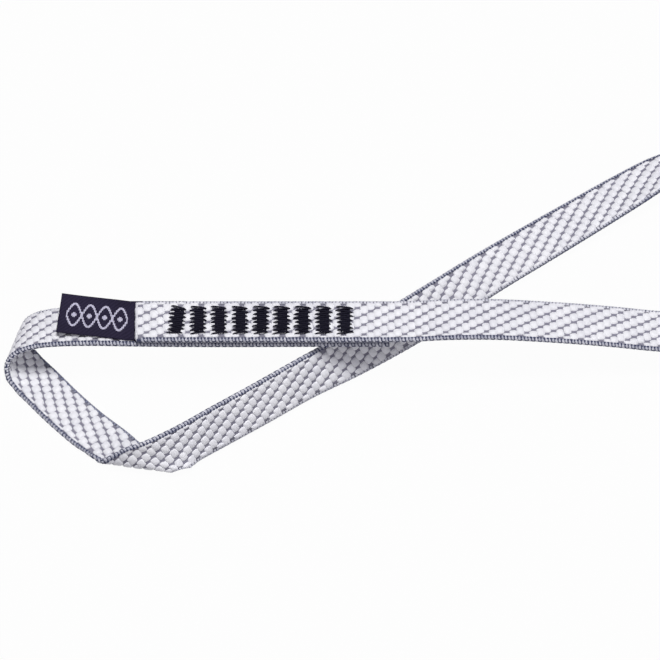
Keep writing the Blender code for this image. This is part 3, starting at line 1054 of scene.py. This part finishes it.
# %% The label's cloth
LABEL_WIDTH = 0.0106
LABEL_THICKNESS = 0.00026
LABEL_REACH = 0.0184
LABEL_SEWN = 0.0115
LABEL_SIDE_STEP = 0.0009
LABEL_YAW = math.radians(7.2)
LABEL_BEND_OUT = 0.002
LABEL_CORNER_LIFT = 0.0003
LABEL_WAVE = 0.00005
LABEL_WAVE_LONG = 0.0035
LABEL_WAVE_ACROSS = 0.006
LABEL_LOOSE_FROM = 0.004
LABEL_LINES = 0.62
LABEL_GRID = (60, 22)
LABEL_FREE = LABEL_BEND_OUT + (LABEL_REACH - LABEL_BEND_OUT) / math.cos(LABEL_YAW)
LABEL_LENGTH = LABEL_SEWN + LABEL_FREE


def smooth_step(share):
    share = np.clip(share, 0, 1)
    return share * share * (3 - 2 * share)


def lay_label(flat):
    """Places in the room of places in the flat label: outward from the cut end, across, and up."""
    out, over, up = flat.T
    past = np.maximum(out - LABEL_BEND_OUT, 0)
    yaw = LABEL_YAW * smooth_step((out - LABEL_BEND_OUT / 2) / LABEL_BEND_OUT)
    x = UPPER_END_X - np.minimum(out, LABEL_BEND_OUT) - past * math.cos(LABEL_YAW) + over * np.sin(yaw)
    y = LEG_Y + LABEL_SIDE_STEP + past * math.sin(LABEL_YAW) + over * np.cos(yaw)
    corner = np.clip(past / LABEL_REACH, 0, 1) ** 2 * np.abs(over / LABEL_WIDTH * 2) ** 3
    wave = 1 + np.sin(out / LABEL_WAVE_LONG + over / LABEL_WAVE_ACROSS)
    loose = smooth_step(past / LABEL_LOOSE_FROM)
    z = LEG_HEIGHT + up + LABEL_CORNER_LIFT * corner + LABEL_WAVE * wave * loose
    return np.stack([x, y, z], axis=1)


def label_mesh():
    build = bmesh.new()
    bmesh.ops.create_grid(
        build,
        x_segments=LABEL_GRID[0],
        y_segments=LABEL_GRID[1],
        size=0.5,
        matrix=Matrix.Translation(((LABEL_FREE - LABEL_SEWN) / 2, 0, LABEL_THICKNESS / 2))
        @ Matrix.Diagonal((LABEL_LENGTH, LABEL_WIDTH, 1, 1)),
    )
    bmesh.ops.solidify(build, geom=build.faces[:], thickness=LABEL_THICKNESS)
    bmesh.ops.recalc_face_normals(build, faces=build.faces)
    mesh = mesh_of(build, "label")
    flat = points_of(mesh)
    note(mesh, flat)
    move_points(mesh, lay_label(flat))
    mesh.flip_normals()
    return mesh


label_finish = yarn_finish(
    "dark_label_cloth",
    (0.002, 0.0015, 0.007),
    (0.034, 0.027, 0.062),
    0.75,
    turned=True,
    fineness=0.12,
    shine=0.1,
    lines=LABEL_LINES,
)
label = finished("label_cloth", label_mesh(), label_finish, body=None)
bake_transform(label)
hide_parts("label_tail", "label_flag")

# %% The label's brocade
BAND_FROM = 0.0022
BAND_TO = 0.0168
BAND_ROWS = 48
BAND_HALF = 0.0030
BAND_TURNS = 2
LINE_WIDE = 0.00055
LENS_HALF_WIDE = 0.0009
LENS_HALF_LONG = 0.22  # of the distance between two crossings
LENS_LEAST = 0.0001
BROCADE_HIGH = 0.00008
BROCADE_SET_IN = 0.00002
BROCADE_TONES = (0.2, 0.8)


def band_floats():
    """Middle outward, middle across and half length of each pale float of the twisted band."""
    places = []
    step = (BAND_TO - BAND_FROM) / BAND_ROWS
    for row in range(BAND_ROWS):
        out = BAND_FROM + (row + 0.5) * step
        for sign in (-1, 1):
            a, b = (
                sign * BAND_HALF * math.sin(math.pi * BAND_TURNS * (row + edge) / BAND_ROWS * 2)
                for edge in (0, 1)
            )
            low = min(a, b) - LINE_WIDE / 2
            high = max(a, b) + LINE_WIDE / 2
            places.append((out, (low + high) / 2, (high - low) / 2))
        lens = ((row + 0.5) / BAND_ROWS * BAND_TURNS * 2) % 1
        half = LENS_HALF_WIDE * (1 - abs(lens - 0.5) / LENS_HALF_LONG)
        if half > LENS_LEAST:
            places.append((out, 0.0, half))
    return np.array(places), step


def brocade_mesh():
    places, step = band_floats()
    count = len(places)
    mesh, shape = repeated(one_float, count)
    flat = np.empty_like(shape)
    flat[:, :, 0] = places[:, 0, None] + shape[:, :, 0] * step * 0.5
    flat[:, :, 1] = places[:, 1, None] + shape[:, :, 1] * places[:, 2, None]
    flat[:, :, 2] = LABEL_THICKNESS / 2 - BROCADE_SET_IN + shape[:, :, 2] * BROCADE_HIGH
    flat = flat.reshape(-1, 3)
    note(mesh, flat, np.repeat(rng.uniform(*BROCADE_TONES, size=count), shape.shape[1]))
    move_points(mesh, lay_label(flat))
    mesh.flip_normals()
    return mesh


brocade_finish = yarn_finish(
    "pale_brocade_weft", (0.45, 0.43, 0.56), (0.68, 0.66, 0.80), 0.5, turned=True, fineness=0.08
)
brocade = finished("label_brocade", brocade_mesh(), brocade_finish, body=None)
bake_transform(brocade)

# %% [markdown]
# ## Floor and light
#
# The tape lies on white, lit by a soft lamp above, a little to the back, and a weaker, wider one in front.
# So the faces that look up are nearly white, and the edges that look at the viewer are darker. The floor
# sends most of its white straight to the camera. A little of it is real, lit floor, for a soft shadow.

# %% Rays that show the white
def white_rays(tree):
    """1 for the rays that look at the background: the camera's, a reflection's and those through glass."""
    path = add_node(tree, "ShaderNodeLightPath")
    either = path.outputs["Is Camera Ray"]
    for kind in ("Is Glossy Ray", "Is Transmission Ray"):
        either = combined(tree, "MAXIMUM", either, path.outputs[kind])
    return either


# %% Floor
FLOOR_SIZE = 4.0
FLOOR_DROP = 0.0002
FLOOR_PLAIN_SHARE = 0.97
FLOOR_GREY = (0.5, 0.5, 0.5, 1)

build = bmesh.new()
bmesh.ops.create_grid(
    build, x_segments=1, y_segments=1, size=FLOOR_SIZE / 2, matrix=Matrix.Translation((0, 0, -FLOOR_DROP))
)
floor = bpy.data.objects.new("floor", mesh_of(build, "floor"))
scene.collection.objects.link(floor)
floor_finish, tree, surface = new_finish("white_floor", 0.9)
surface.inputs["Base Color"].default_value = FLOOR_GREY
surface.inputs["Specular IOR Level"].default_value = 0.0
plain = add_node(tree, "ShaderNodeEmission")
mix = add_node(tree, "ShaderNodeMixShader")
join(tree, combined(tree, "MULTIPLY", white_rays(tree), FLOOR_PLAIN_SHARE), mix.inputs["Fac"])
join(tree, surface.outputs["BSDF"], mix.inputs[1])
join(tree, plain.outputs["Emission"], mix.inputs[2])
join(tree, mix.outputs["Shader"], tree.nodes["Material Output"].inputs["Surface"])
floor.data.materials.append(floor_finish)

# %% Light
SKY_LEVEL = 0.15
SKY_COLOUR = (0.82, 0.77, 1.0)
LAMPS = [
    # name, level, width in degrees, and the direction that it stands in
    ("lamp_above", 2.36, 22, (0.05, 0.18, 1.0)),
    ("lamp_in_front", 0.6, 60, (0.3, -1.0, 0.7)),
]
sky = bpy.data.worlds.new("studio")
sky.use_nodes = True
tree = sky.node_tree
background = tree.nodes["Background"]
white = white_rays(tree)
level = add_node(tree, "ShaderNodeMapRange")
set_inputs(level, From_Min=0.0, From_Max=1.0, To_Min=SKY_LEVEL, To_Max=1.0)
join(tree, white, level.inputs["Value"])
join(tree, level.outputs["Result"], background.inputs["Strength"])
tint = add_node(tree, "ShaderNodeMix", data_type="RGBA")
tint.inputs["A"].default_value = (*SKY_COLOUR, 1)
tint.inputs["B"].default_value = (1, 1, 1, 1)
join(tree, white, tint.inputs["Factor"])
join(tree, tint.outputs["Result"], background.inputs["Color"])
scene.world = sky

for name, level, width, direction in LAMPS:
    lamp = bpy.data.objects.new(name, bpy.data.lights.new(name, "SUN"))
    lamp.data.energy = level
    lamp.data.angle = math.radians(width)
    lamp.rotation_euler = Vector(direction).to_track_quat("Z", "Y").to_euler()
    scene.collection.objects.link(lamp)
scene.view_settings.view_transform = "Standard"
print(len(LAMPS), "lamps and the sky")
